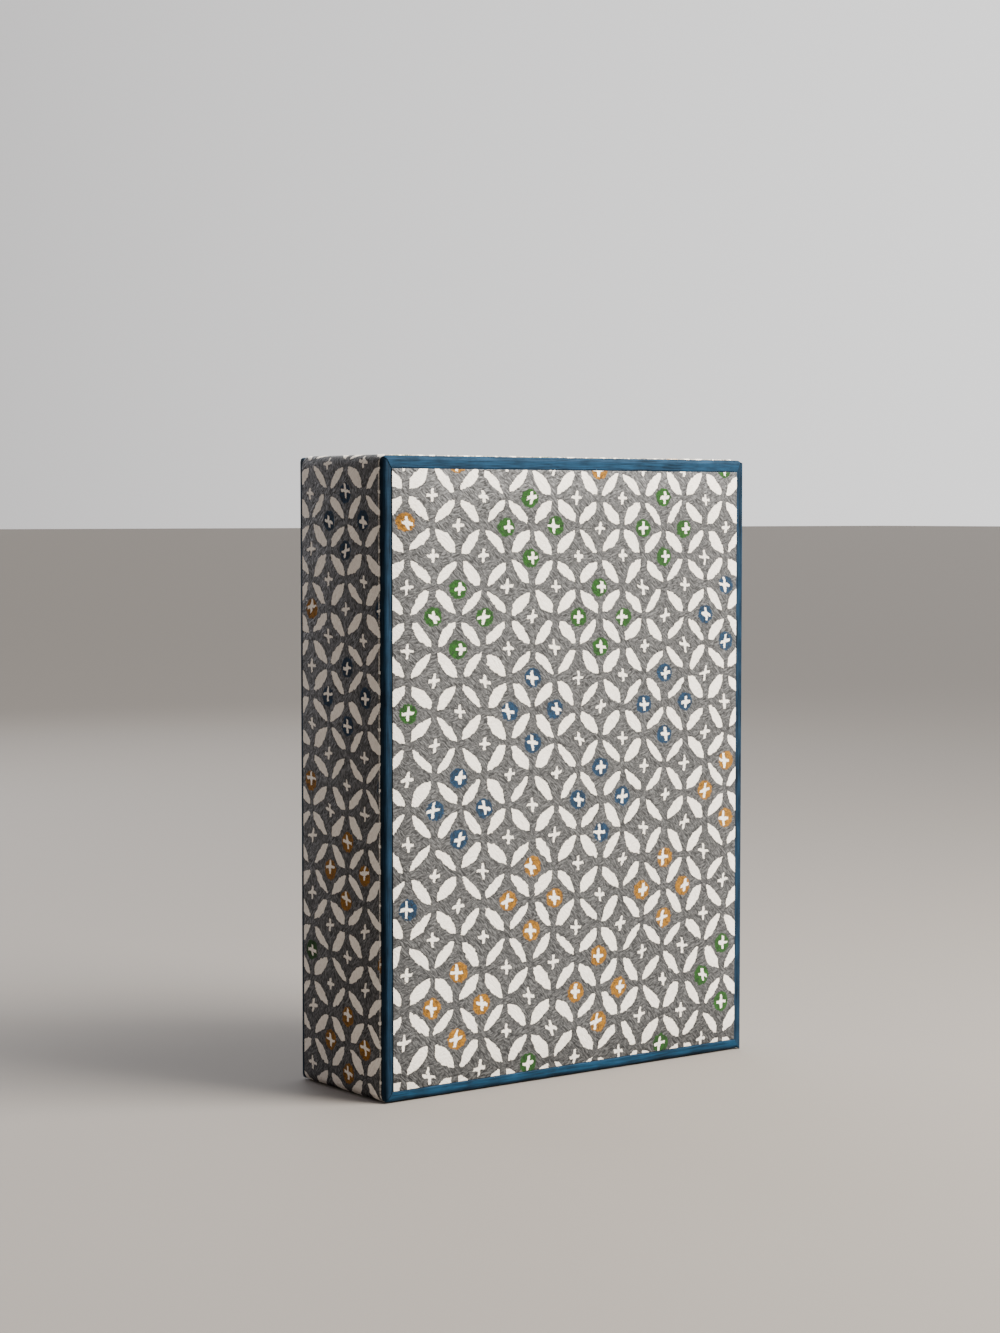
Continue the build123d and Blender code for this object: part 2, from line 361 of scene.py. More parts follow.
print("fibres", FIBRE_MM, "mm apart, hairlines about", CRUMPLE_MM, "mm apart")


# %% The grey ground
GREYS = ("#101010", "#313131", "#585857", "#5a5957")    # in hollows, between, on top of fibres, on hairlines


def grey_ground(tree, tangle, patch, hairline, depth):
    """The dull grey: darker in hollows and along the stencil's edge, thin on fibres and hairlines."""
    low = add(tree, "MapRange", {"Value": tangle, "From Min": 0.05, "From Max": 0.5})
    high = add(tree, "MapRange", {"Value": tangle, "From Min": 0.5, "From Max": 1.0})
    faint = add(tree, "Math", hairline, patch, operation="MULTIPLY")
    grey = linear(GREYS[0])
    for share, thinner in zip((low, high, faint), GREYS[1:]):
        grey = add(tree, "Mix", {FACTOR: share, COLOUR_A: grey, COLOUR_B: linear(thinner)}, **COLOUR_MIX)
    # The grey is made darker in a band just outside the white shapes' edges.
    edge_band_range = {"Value": depth, "From Min": -0.7, "From Max": -0.1, "To Min": 1.0, "To Max": 0.62}
    darker_edge_band = add(tree, "MapRange", edge_band_range, **SOFT_STEP)
    return add(tree, "Mix", {FACTOR: 1.0, COLOUR_A: grey, COLOUR_B: darker_edge_band}, **TINT)


print("the greys in linear light:", [round(linear(grey)[0], 3) for grey in GREYS])

# %% [markdown]
# ### The whole finish
#
# The finish puts these together. Matt white paper shows where the stencil covered it, and where the colour
# is rubbed off along a fold, which the wraps mark with an attribute called fold. The brushed grey dries
# with a dull shine on top of the fibres, while the spots and the bare paper stay matt. One roughness for
# all of it would make the crosses shine too.

# %% The stencilled paper
KNIFE_WAVE_MM = 2.381    # from wave to wave of a cut edge
KNIFE_WOBBLE = 1.2       # and how high the waves are
FRAY = 0.3               # how far fibres fray a cut edge, from least to most
SWIRL_MM = 1.5385        # the brush's swirls in a spot


def stencilled_paper():
    """Handmade paper stencilled in grey: matt white, and a mottled grey with the dull shine of dried size."""
    finish, tree = new_finish("stencilled_handmade_paper")
    uv = add(tree, "UVMap", uv_map="paper")
    mm = add(tree, "VectorMath", uv, (1 / MM, 1 / MM, 0), operation="MULTIPLY")

    # The place in the lattice, wobbled by the knife
    wave = {"Vector": mm, "Scale": 1 / KNIFE_WAVE_MM, "Detail": 2.5}
    knife = centred(tree, add(tree, "TexNoise", wave, noise_dimensions="2D", out="Color"))
    wobbled = add(tree, "VectorMath", knife, (KNIFE_WOBBLE, KNIFE_WOBBLE, 0), mm, operation="MULTIPLY_ADD")
    pitch = (1 / HALF_ACROSS, 1 / HALF_UP, 0)
    lattice = add(tree, "VectorMath", wobbled, pitch, (1, 0, 0), operation="MULTIPLY_ADD")
    crossing = nearest_crossing(tree, lattice)
    apart = add(tree, "VectorMath", lattice, crossing, operation="SUBTRACT")
    in_mm = add(tree, "VectorMath", apart, (HALF_ACROSS, HALF_UP, 0), operation="MULTIPLY")
    chance = knife_chance(tree, crossing)

    # The white shapes, frayed by fibres at their edges
    cross = crosses(tree, crossing, in_mm, chance)
    shapes = add(tree, "Math", almonds(tree, lattice), cross, operation="MAXIMUM")
    streaks = fibres(tree, mm, angle=20, stretch=1.6)
    frayed = add(tree, "Math", streaks, FRAY, -FRAY / 2, operation="MULTIPLY_ADD")
    depth = add(tree, "Math", shapes, frayed, operation="ADD")
    white = add(tree, "MapRange", {"Value": depth, "From Min": -CUT_EDGE, "From Max": CUT_EDGE}, **SOFT_STEP)

    # The colours between them
    tangle, patch = tangled_fibres(tree, mm)
    hairline = hairlines(tree, mm, knife)
    ground = grey_ground(tree, tangle, patch, hairline, depth)
    spot, brush_colour = spots(tree, crossing, in_mm, chance, streaks)
    swirling = {"Vector": mm, "Scale": 1 / SWIRL_MM, "Detail": 2.0, "Distortion": 1.4}
    swirl = add(tree, "TexNoise", swirling, noise_dimensions="2D")
    streaky = {"Value": swirl, "From Min": 0.3, "From Max": 0.68, "To Min": 0.4, "To Max": 1.45}
    streak = add(tree, "MapRange", streaky)
    brushed = add(tree, "Mix", {FACTOR: 1.0, COLOUR_A: brush_colour, COLOUR_B: streak}, **TINT)
    coloured = add(tree, "Mix", {FACTOR: spot, COLOUR_A: ground, COLOUR_B: brushed}, **COLOUR_MIX)

    # Bare paper in the shapes and along rubbed folds
    fibre_shades = {FACTOR: tangle, COLOUR_A: linear("#ded6c9"), COLOUR_B: linear("#f3ede2")}
    paper = add(tree, "Mix", fibre_shades, **COLOUR_MIX)
    fold = add(tree, "Attribute", attribute_name="fold", out="Fac")
    uneven = {"Value": swirl, "From Min": 0.35, "From Max": 0.6, "To Min": 0.15, "To Max": 1.0}
    rubbed = add(tree, "Math", fold, add(tree, "MapRange", uneven), operation="MULTIPLY")
    bare = add(tree, "Math", white, rubbed, operation="MAXIMUM")
    printed = add(tree, "Mix", {FACTOR: bare, COLOUR_A: coloured, COLOUR_B: paper}, **COLOUR_MIX)

    # The dull shine, and the relief of fibres and hairlines
    dull = add(tree, "MapRange", {"Value": tangle, "To Min": 0.85, "To Max": 0.45})
    painted = add(tree, "Mix", {FACTOR: spot, NUMBER_A: dull, NUMBER_B: 1.0}, **NUMBER_MIX)
    roughness = add(tree, "Mix", {FACTOR: white, NUMBER_A: painted, NUMBER_B: 0.8}, **NUMBER_MIX)
    relief = add(tree, "Math", hairline, -0.7, tangle, operation="MULTIPLY_ADD")
    bump = add(tree, "Bump", {"Strength": 0.6, "Distance": 0.16 * MM, "Height": relief})
    sized = {"Base Color": printed, "Roughness": roughness, "Normal": bump, "Specular IOR Level": 0.5}
    add(tree, "OutputMaterial", {"Surface": add(tree, "BsdfPrincipled", sized)})
    return finish


patterned_paper = stencilled_paper()
print(patterned_paper.name, "has", len(patterned_paper.node_tree.nodes), "nodes")

# %% [markdown]
# ## Bookcloth
#
# Bookcloth is a fine plain-woven cloth, dyed deep blue and backed with paper so that glue doesn't strike
# through. Its threads are about 0.45 mm apart. Modelled threads would need millions of faces, so a sine on
# each axis draws them as relief, and the weave is right on every face of the box. Some threads are thicker
# for a few mm, and these slubs show as streaks. They run up the long edges, and across the strips turned
# over at head and tail. The cloth has two finishes that differ by painted light: the strips at head and tail
# are painted a shade lighter, as if lit from above, and the rest a shade darker, as if in shade.

# %% Blue bookcloth
THREAD_MM = 0.45
SLUB_WIDE_MM = 0.5263
SLUB_LONG_MM = 10
RUB_MM = 10              # from one rubbed patch to the next


def blue_bookcloth(name, slub_mm, dark, light):
    """Dyed, paper-backed bookcloth: dark, worn lighter in random patches, with painted shade between the
    threads and painted light on their tops.
    """
    finish, tree = new_finish(name)
    mm = object_mm(tree)
    phase = add(tree, "VectorMath", mm, (math.pi / THREAD_MM,) * 3, operation="MULTIPLY")
    sines = add(tree, "VectorMath", phase, operation="SINE")
    waves = add(tree, "VectorMath", sines, operation="ABSOLUTE")
    weave = add(tree, "VectorMath", waves, (0.4, 0.4, 0.4), **DOT)
    drawn = add(tree, "VectorMath", mm, slub_mm, operation="DIVIDE")
    slub = add(tree, "TexNoise", {"Vector": drawn, "Scale": 1.0, "Detail": 2.0, "Roughness": 0.65})
    rub = add(tree, "TexNoise", {"Vector": mm, "Scale": 1 / RUB_MM, "Detail": 3.0, "Roughness": 0.6})
    worn_slub = add(tree, "Math", slub, 0.6, operation="MULTIPLY")
    worn = add(tree, "Math", rub, 0.4, worn_slub, operation="MULTIPLY_ADD")
    worn_high = add(tree, "MapRange", {"Value": worn, "From Min": 0.36, "From Max": 0.64})
    shades = {FACTOR: worn_high, COLOUR_A: linear(dark), COLOUR_B: linear(light)}
    dyed = add(tree, "Mix", shades, **COLOUR_MIX)
    # Painted shade and light: the colour is darker between the threads and lighter on their tops.
    painted_weave_shade_range = {"Value": weave, "From Min": 0.1, "From Max": 0.9, "To Min": 0.8, "To Max": 1.1}
    painted_weave_shade = add(tree, "MapRange", painted_weave_shade_range)
    colour = add(tree, "Mix", {FACTOR: 1.0, COLOUR_A: dyed, COLOUR_B: painted_weave_shade}, **TINT)
    polish = {"Value": worn, "From Min": 0.3, "From Max": 0.7, "To Min": 0.72, "To Max": 0.58}
    relief = add(tree, "Math", slub, 0.5, weave, operation="MULTIPLY_ADD")
    cloth = {
        "Base Color": colour,
        "Roughness": add(tree, "MapRange", polish),
        "Normal": add(tree, "Bump", {"Strength": 0.45, "Distance": 0.1 * MM, "Height": relief}),
        "Sheen Weight": 0.01,
        "Specular IOR Level": 0.05,
    }
    add(tree, "OutputMaterial", {"Surface": add(tree, "BsdfPrincipled", cloth)})
    return finish


slubs_up = (SLUB_WIDE_MM, SLUB_WIDE_MM, SLUB_LONG_MM)
slubs_across = (SLUB_LONG_MM, SLUB_LONG_MM, SLUB_WIDE_MM)
# Painted light: the threads-up finish is painted a shade darker, as if in shade, and the threads-across
# finish a shade lighter, as if lit from above.
cloth_up_painted_shade = blue_bookcloth("blue_bookcloth_threads_up_painted_shade", slubs_up, "#08141e", "#152c3e")
cloth_across_painted_light = blue_bookcloth("blue_bookcloth_threads_across_painted_light", slubs_across, "#091a26", "#18374e")
BOOKCLOTH = [cloth_up_painted_shade, cloth_across_painted_light]
print("bookcloth:", [finish.name for finish in BOOKCLOTH])

# %% [markdown]
# ## Plain papers and board
#
# The inner tray has plain blue paper, and the insides are lined with laid paper, whose mould leaves fine
# lines 1.2 mm apart. Both are one function with other colours, and the cut edge of the stencilled sheet is
# a third, a darker grey that is painted shade. Greyboard is pulped waste paper, so it is full of short
# flecks, which are the dark middles of a cell pattern.

# %% Plain papers
LAID_MM = 1.2
FUZZ_MM = 0.9091         # the short fibres of machine-made paper
CLOUD_MM = 20            # the cloudy look of paper held to the light


def plain_paper(name, dark, light, roughness):
    """Plain paper with fine fibres and a mould's laid lines, which run up the box."""
    finish, tree = new_finish(name)
    mm = object_mm(tree)
    short = {"Vector": mm, "Scale": 1 / FUZZ_MM, "Detail": 4.0, "Roughness": 0.65, "Distortion": 1.2}
    fuzz = add(tree, "TexNoise", short)
    cloud = add(tree, "TexNoise", {"Vector": mm, "Scale": 1 / CLOUD_MM, "Detail": 2.0})
    level = add(tree, "VectorMath", mm, (1, 1, 0), **DOT)
    phase = add(tree, "Math", level, math.tau / LAID_MM, operation="MULTIPLY")
    laid = add(tree, "Math", phase, operation="SINE")
    clouded = add(tree, "Math", cloud, 0.4, fuzz, operation="MULTIPLY_ADD")
    lined = add(tree, "Math", laid, 0.035, clouded, operation="MULTIPLY_ADD")
    high = add(tree, "MapRange", {"Value": lined, "From Min": 0.45, "From Max": 0.95})
    colour = add(tree, "Mix", {FACTOR: high, COLOUR_A: linear(dark), COLOUR_B: linear(light)}, **COLOUR_MIX)
    relief = add(tree, "Math", laid, 0.12, fuzz, operation="MULTIPLY_ADD")
    bump = add(tree, "Bump", {"Strength": 0.35, "Distance": 0.12 * MM, "Height": relief})
    sheet = {"Base Color": colour, "Roughness": roughness, "Normal": bump, "Specular IOR Level": 0.15}
    add(tree, "OutputMaterial", {"Surface": add(tree, "BsdfPrincipled", sheet)})
    return finish


blue_paper = plain_paper("blue_laid_paper", "#0c2639", "#153a55", 0.66)
lining_paper = plain_paper("cream_laid_lining_paper", "#d9d2c1", "#ebe5d6", 0.72)
# The panels' cut edges get a darker grey than the white paper: painted shade.
edge_paper_painted_shade = plain_paper("paper_edge_painted_shade", "#6f6b66", "#8f8a83", 0.85)
print("papers:", [finish.name for finish in (blue_paper, lining_paper, edge_paper_painted_shade)])

# %% Greyboard
PULP_MM = 1.111
FLECK_MM = 1.25          # from one fleck to the next


def pulp_board():
    """Greyboard: pressed pulp, grey-brown with pale and dark flecks."""
    finish, tree = new_finish("greyboard")
    mm = object_mm(tree)
    pulp = add(tree, "TexNoise", {"Vector": mm, "Scale": 1 / PULP_MM, "Detail": 4.0, "Roughness": 0.7})
    from_fleck = add(tree, "TexVoronoi", {"Vector": mm, "Scale": 1 / FLECK_MM})
    flecked = {"Value": from_fleck, "From Min": 0.12, "From Max": 0.2, "To Min": 0.35, "To Max": 1.0}
    dark = add(tree, "MapRange", flecked)
    pulp_shades = {FACTOR: pulp, COLOUR_A: linear("#6d655b"), COLOUR_B: linear("#a39a8c")}
    board = add(tree, "Mix", pulp_shades, **COLOUR_MIX)
    colour = add(tree, "Mix", {FACTOR: 1.0, COLOUR_A: board, COLOUR_B: dark}, **TINT)
    bump = add(tree, "Bump", {"Strength": 0.5, "Distance": 0.2 * MM, "Height": pulp})
    pressed = {"Base Color": colour, "Roughness": 0.92, "Normal": bump}
    add(tree, "OutputMaterial", {"Surface": add(tree, "BsdfPrincipled", pressed)})
    return finish


greyboard = pulp_board()
print("greyboard has", len(greyboard.node_tree.nodes), "nodes")

# %% [markdown]
# ## How a sheet is finished
#
# Every covering is first modelled as a surface: the outer face of the sheet, folded as it is on the box.
# Giving it its thickness inwards afterwards keeps the outer face exactly where it was drawn, which
# modelling both faces by hand would not. One function does that for each piece, hands it to the body that
# carries it, and prints its size. The others are the few moves that every sheet is made with.

# %% Finishing a sheet
CLOTH_THICK = 0.3
JOINT_CLOTH_THICK = 0.25    # the joint's cloth is pressed thinner
PAPER_THICK = 0.2
MERGED = 0.002           # points nearer than this are one point
SHARP_ANGLE = math.radians(32)


def finish_sheet(sheet, name, finishes, thick=0.0, body=None, stands_for=()):
    """Turns a surface into a sheet this thick in mm, inwards from its faces, and makes it a piece."""
    bmesh.ops.remove_doubles(sheet, verts=sheet.verts, dist=MERGED * MM)
    bmesh.ops.recalc_face_normals(sheet, faces=sheet.faces)
    mesh = bpy.data.meshes.new(name)
    sheet.to_mesh(mesh)
    sheet.free()
    piece = bpy.data.objects.new(name, mesh)
    bpy.context.scene.collection.objects.link(piece)
    for finish in finishes:
        mesh.materials.append(finish)
    if thick:
        solidify = piece.modifiers.new("thickness", "SOLIDIFY")
        solidify.thickness, solidify.offset = thick * MM, -1
        solidify.use_even_offset = True
        thickened = piece.evaluated_get(bpy.context.evaluated_depsgraph_get())
        piece_mesh = bpy.data.meshes.new_from_object(thickened)
        piece.modifiers.clear()
        piece.data = piece_mesh
    piece.data.shade_smooth()
    piece.data.set_sharp_from_angle(angle=SHARP_ANGLE)
    if stands_for:
        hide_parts(*stands_for)
    if body:
        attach(piece, body)
    size = [round(length / MM, 1) for length in piece.dimensions]
    print(name, "has", len(piece.data.polygons), "faces and measures", size, "mm")
    return piece


print("sheets in mm: cloth", CLOTH_THICK, "and paper", PAPER_THICK)


# %% Moves for a sheet
def place_mm(sheet, move=(0, 0, 0), turn=Matrix.Identity(4)):
    """Turns and moves a sheet in mm to its place on the box, in metres."""
    whole = Matrix.Scale(MM, 4) @ Matrix.Translation(move) @ turn
    bmesh.ops.transform(sheet, matrix=whole, verts=sheet.verts)


def mirror_to_back(sheet):
    """Moves a sheet from the front of the box to the same place on the back."""
    bmesh.ops.scale(sheet, vec=(1, -1, 1), verts=sheet.verts)
    bmesh.ops.reverse_faces(sheet, faces=sheet.faces)


def extrude_edges(sheet, edges, move):
    """Extrudes edges by a move, and gives back the new ones."""
    made = bmesh.ops.extrude_edge_only(sheet, edges=edges)["geom"]
    verts = [item for item in made if isinstance(item, bmesh.types.BMVert)]
    bmesh.ops.translate(sheet, vec=move, verts=verts)
    return [item for item in made if isinstance(item, bmesh.types.BMEdge)]


def spin_edges(sheet, edges, centre, axis, angle, steps):
    """Spins edges round a centre, and gives back the last ones."""
    turn = {"cent": centre, "axis": axis, "angle": angle, "steps": steps, "use_merge": False}
    made = bmesh.ops.spin(sheet, geom=edges, **turn)["geom_last"]
    return [item for item in made if isinstance(item, bmesh.types.BMEdge)]


def cut(sheet, point, normal, clear_outer=False):
    """Cuts a sheet with a plane, and clears what lies beyond it if that is asked."""
    whole = sheet.verts[:] + sheet.edges[:] + sheet.faces[:]
    bmesh.ops.bisect_plane(sheet, geom=whole, plane_co=point, plane_no=normal, clear_outer=clear_outer)


def box_mm(node):
    """A node's lowest and highest corners in mm."""
    low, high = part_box(node)
    return Vector(low) / MM, Vector(high) / MM


print("the outer tray's wrap ends at", [round(place, 2) for place in box_mm("outer_tray_wrap")[1]], "mm")

# %% [markdown]
# ## The cloth over a board
#
# The cloth is drawn over the board's face and its four edges. Head and tail strips are turned over last, so
# they lie on the strips beside them, and their folded ends show as a step on each mitre, from corner to
# panel. A cloth simulation could drape it, but paste holds real bookcloth tight on its board, and plain
# geometry is nearer to that.
#
# The shape grows from one flat face: bevel its corners, extrude it to the edge's height, then inset it in
# small steps round the softened edge. Once the insets have used up a corner's radius, the next one makes
# the mitre lines by itself. A corner where cloth is gathered is round. At the foot of the joint the cloth
# lies flat, and the corner is crisp. The last insets press a fine groove round the panel, and the open edge
# is turned in over the board's back.

# %% A covered board
CORNER_RADIUS = 1.5
CRISP_RADIUS = 0.25      # a corner where no cloth is gathered
EDGE_DEEP = 1.4          # the softened edge starts this far below the board's face
EDGE_WIDE = 1.25         # and ends this far in from its side
# The groove's lines: how far outside the panel's edge, and how high above the board's face
GROOVE = ((0.5, 0.0), (0.1, -0.26), (-0.2, -0.1), (-3.0, 0.0))
# The steps inwards of the rounded edge
ROUNDING = (0, 0.03, 0.1, CRISP_RADIUS, 0.5, 0.85, EDGE_WIDE, CORNER_RADIUS)
# Where a corner has shrunk to a point, and how far its points may be apart
USED_UP = {CRISP_RADIUS: 0.15, CORNER_RADIUS: 0.3}


def rise(inwards):
    """How far the rounded edge has risen this far in from the board's side."""
    return EDGE_DEEP * math.sqrt(1 - (1 - min(1, inwards / EDGE_WIDE)) ** 2)


def covered_board(width, height, thick, panel, is_crisp):
    """The outside of a cloth-covered board in mm, lying on the XY plane with its face up and its back open.

    The cloth is pressed into a fine groove round the panel, given by its lowest and highest corners.
    """
    cover = bmesh.new()
    bmesh.ops.create_grid(cover, x_segments=1, y_segments=1, size=0.5)
    bmesh.ops.scale(cover, vec=(width, height, 1), verts=cover.verts)
    crisp = [vert for vert in cover.verts if is_crisp(vert.co)]
    rounded = [vert for vert in cover.verts if not is_crisp(vert.co)]
    for corners, radius, segments in ((crisp, CRISP_RADIUS, 2), (rounded, CORNER_RADIUS, 6)):
        bevel = {"affect": "VERTICES", "offset": radius, "segments": segments, "profile": 0.5, "material": -1}
        bmesh.ops.bevel(cover, geom=corners, **bevel)
    lifted = bmesh.ops.extrude_face_region(cover, geom=cover.faces[:])["geom"]
    rim = [item for item in lifted if isinstance(item, bmesh.types.BMVert)]
    bmesh.ops.translate(cover, vec=(0, 0, thick - EDGE_DEEP), verts=rim)
    outlines = [face for face in cover.faces if len(face.verts) > 4]
    bottom, top = sorted(outlines, key=lambda face: face.calc_center_median().z)
    bmesh.ops.delete(cover, geom=[bottom], context="FACES_ONLY")
    for before, after in zip(ROUNDING, ROUNDING[1:]):
        steps = {"thickness": after - before, "depth": rise(after) - rise(before)}
        bmesh.ops.inset_region(cover, faces=[top], use_even_offset=True, use_boundary=True, **steps)
        if after in USED_UP:
            bmesh.ops.remove_doubles(cover, verts=top.verts[:], dist=USED_UP[after])
            top = max(cover.faces, key=lambda face: face.calc_area())
    for outside, level in GROOVE:
        # Any inset does, because its four points are placed next.
        bmesh.ops.inset_region(cover, faces=[top], thickness=0.1, use_even_offset=True, use_boundary=True)
        for vert in top.verts:
            vert.co.x = panel[1].x + outside if vert.co.x > 0 else panel[0].x - outside
            vert.co.y = panel[1].y + outside if vert.co.y > 0 else panel[0].y - outside
            vert.co.z = thick + level
    return cover, top


print("an edge rises", [round(rise(inwards), 2) for inwards in ROUNDING], "mm")

# %% Turned-in and turned-over cloth
TURNED_OVER = 0.18       # how much a turned strip stands on the one below
TURN_IN_PROUD = 0.1      # and a turned-in edge on the board's back
TURNED_OVER_RISE = 0.5   # a turned strip's lift grows from nothing over this height, from the board's back
TOUCHING = 0.01          # places nearer than this are the same place


def turn_in(cover, width, height, fore_edge, joint, ends):
    """Turns the cloth's edge in over the board's back, this far from each side."""
    def turned(edge):
        at_joint = min(vert.co.x for vert in edge.verts) > width / 2 - CORNER_RADIUS - TOUCHING
        return edge.is_boundary and (ends or at_joint)

    rim = [edge for edge in cover.edges if turned(edge)]
    rim = extrude_edges(cover, rim, (0, 0, -TURN_IN_PROUD))
    rim = extrude_edges(cover, rim, (0, 0, 0))
    for vert in {vert for edge in rim for vert in edge.verts}:
        vert.co.x = min(max(vert.co.x, fore_edge - width / 2), width / 2 - joint)
        vert.co.y = min(max(vert.co.y, ends - height / 2), height / 2 - ends)


def fold_over_ends(cover, middle, width, height):
    """Cuts the mitres, and lifts the head and tail strips on to the strips beside them."""
    def at_an_end(face):
        centre = face.calc_center_median()
        return face != middle and height / 2 - abs(centre.y) < width / 2 - abs(centre.x)

    cover.normal_update()
    ends = [face for face in cover.faces if at_an_end(face)]
    lift = {}
    for vert in {vert for face in ends for vert in face.verts}:
        share = max(0.0, min(1.0, vert.co.z / TURNED_OVER_RISE))
        lift[tuple(vert.co)] = vert.normal * TURNED_OVER * share
    mitres = [edge for edge in cover.edges if len({at_an_end(face) for face in edge.link_faces}) == 2]
    bmesh.ops.split_edges(cover, edges=mitres)
    for face in ends:
        # The head and tail strips take the cloth that is painted a shade lighter, as painted light from
        # above.
        face.material_index = BOOKCLOTH.index(cloth_across_painted_light)
    for vert in {vert for face in ends for vert in face.verts}:
        vert.co += lift[tuple(vert.co)]


print("a strip turned over stands", TURNED_OVER, "mm on the one below")

# %% Places on the case
ONTO_FRONT = Matrix(((1, 0, 0, 0), (0, 0, -1, 0), (0, 1, 0, 0), (0, 0, 0, 1)))
ONTO_SPINE = Matrix(((0, 0, 1, 0), (1, 0, 0, 0), (0, 1, 0, 0), (0, 0, 0, 1)))
case_low, case_high = box_mm("front_cloth")
case_size = case_high - case_low
middle_z = (case_low.z + case_high.z) / 2
spine_low, spine_high = box_mm("spine_board")
joint_x = box_mm("spine_cloth")[1].x


def on_board(node, axis):
    """A panel's lowest and highest corners, seen on the board from its middle."""
    return [Vector((corner[axis], corner.z - middle_z)) for corner in box_mm(node)]


print("a covered board is", [round(size, 2) for size in case_size], "mm")

# %% The cloth on the front and back boards
FORE_EDGE_TRIM = 0.35    # the sheets on the boards are cut this much shorter at the fore-edge
# The cloth turns in as far as a tray leaves the board's back free, at the fore-edge, the joint and the ends.
# On the front board's other three sides the outer tray covers it.
TURN_INS = {"front": (0, 2.9, 0), "back": (3.75, 2.9, 2.75)}


def at_foot_of_joint(corner):
    """Whether a corner is the one where no cloth is gathered."""
    return corner.x > 0 > corner.y


for side, name, body in HALVES:
    panel_corners = on_board(name + "_panel", 0)
    panel_corners[0].x += FORE_EDGE_TRIM
    sheet, middle = covered_board(case_size.x, case_size.z, case_size.y, panel_corners, at_foot_of_joint)
    turn_in(sheet, case_size.x, case_size.z, *TURN_INS[name])
    fold_over_ends(sheet, middle, case_size.x, case_size.z)
    place_mm(sheet, (0, case_high.y, middle_z), ONTO_FRONT)
    if side == BACK:
        mirror_to_back(sheet)
    cloth = name + "_board_cloth"
    finish_sheet(sheet, cloth, BOOKCLOTH, CLOTH_THICK, body, [name + "_cloth"])

# %% The cloth on the spine
OVER_SPINE_EDGE = 0.1    # the cloth over the spine board's long edges
GROOVE_UNDER = 0.9       # the spine's groove lies under its panel, at this share of the panel's size
spine_width = spine_high.y - spine_low.y + 2 * OVER_SPINE_EDGE
spine_thick = joint_x - spine_low.x
panel_corners = [corner * GROOVE_UNDER for corner in on_board("spine_panel", 1)]
sheet, middle = covered_board(spine_width, case_size.z, spine_thick, panel_corners, lambda corner: True)
fold_over_ends(sheet, middle, spine_width, case_size.z)
place_mm(sheet, (spine_low.x, 0, middle_z), ONTO_SPINE)
finish_sheet(sheet, "spine_board_cloth", BOOKCLOTH, CLOTH_THICK, "spine", ["spine_cloth"])

# %% [markdown]
# ## The joints
#
# At each joint the cloth alone holds two boards together, and the box opens by folding it. One sheet over
# the whole case would be truest, but a sheet can be blended over one joint only, so each joint has its own
# strip: flat on the board, round the corner, flat on the spine, with both long edges under a panel, where
# nobody sees them end.
#
# An edge is extruded, spun a quarter turn and extruded again. Planes then cut its ends. Beside the cloth
# that is turned in over board and spine, they cut it aslant. At the head it dips between them, and at the
# tail, where it is gathered, it reaches a little below the boards. The frame's blend bends it with the box:
# it follows the spine up to the corner and the board past it.

# %% A strip of joint cloth
JOINT_RADIUS = 0.7
JOINT_UP = 0.1           # how much the joint's cloth stands on the boards' cloth
UNDER_PANEL = 1.5        # how far a joint's cloth reaches under a panel
HEAD_DIP = 0.9           # how far it dips at the box's corner at the head
HEAD_SLOPE = 0.3         # and how steeply it rises from there to the spine
TAIL_GATHER = 0.45       # how far the gathered cloth reaches below the boards at the tail


def joint_strip():
    """The outer face of the front joint's cloth, in mm."""
    outside_x, outside_y = joint_x + JOINT_UP, case_low.y - JOINT_UP
    start_x = box_mm("front_panel")[1].x - UNDER_PANEL
    end_y = box_mm("spine_panel")[0].y + UNDER_PANEL
    low_z, high_z = case_low.z - TAIL_GATHER, case_high.z
    corner = Vector((outside_x - JOINT_RADIUS, outside_y + JOINT_RADIUS, 0))
    strip = bmesh.new()
    ends = [strip.verts.new((start_x, outside_y, z)) for z in (low_z, high_z)]
    edges = extrude_edges(strip, [strip.edges.new(ends)], (corner.x - start_x, 0, 0))
    edges = spin_edges(strip, edges, corner, (0, 0, 1), math.pi / 2, 6)
    extrude_edges(strip, edges, (0, end_y - corner.y, 0))
    for end_z, outwards in ((high_z, (0, 0, 1)), (low_z, (0, 0, -1))):
        for point, inwards in (((case_high.x, 0, end_z), (-1, 0, 0)), ((0, spine_low.y, end_z), (0, 1, 0))):
            cut(strip, point, Vector(inwards) + Vector(outwards), clear_outer=True)
    cut(strip, (0, outside_y, case_high.z - HEAD_DIP), (0, -HEAD_SLOPE, 1), clear_outer=True)
    return strip


print("the joint's cloth turns on a radius of", JOINT_RADIUS, "mm")

# %% The cloth of both joints
for side, name, body in HALVES:
    strip = joint_strip()
    place_mm(strip)
    if side == BACK:
        mirror_to_back(strip)
    piece = finish_sheet(strip, name + "_joint_cloth", [cloth_up_painted_shade], JOINT_CLOTH_THICK)
    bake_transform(piece)

# %% [markdown]
# ## The panels
#
# The patterned sheets on the boards and the spine are cut to size and pasted down inside the blue margins.
# A bare plane would show no edge, so each is a thin block with its cut edges just broken. Its face takes
# the stencilled finish, and its edges a darker grey paper, which is painted shade. The UV map is laid from
# the sheet's face: metres across and metres up from a chosen node of the pattern.
#
# A stencil is moved along the sheet by hand, so the front's rows are bowed by a few mm. A UV map can only
# bend between points, so that panel is first cut into a net.

# %% The pattern on a panel
BOW_SPAN = (80, 110)     # mm from a board's middle to near its edges
NET = ((0, 10), (2, 14))    # an axis, and how many strips the panel is cut into along it
STRAIGHT = ((0, 0, 0, 0, 0), (0, 0, 0, 0, 0))
# How many mm the rows stray, across and then up: everywhere, with x, with z, and with the square of each
BOWED = ((1.35, 0.42, 0.53, -2.73, -1.54), (0.53, -0.75, 0.53, 0.62, -3.57))


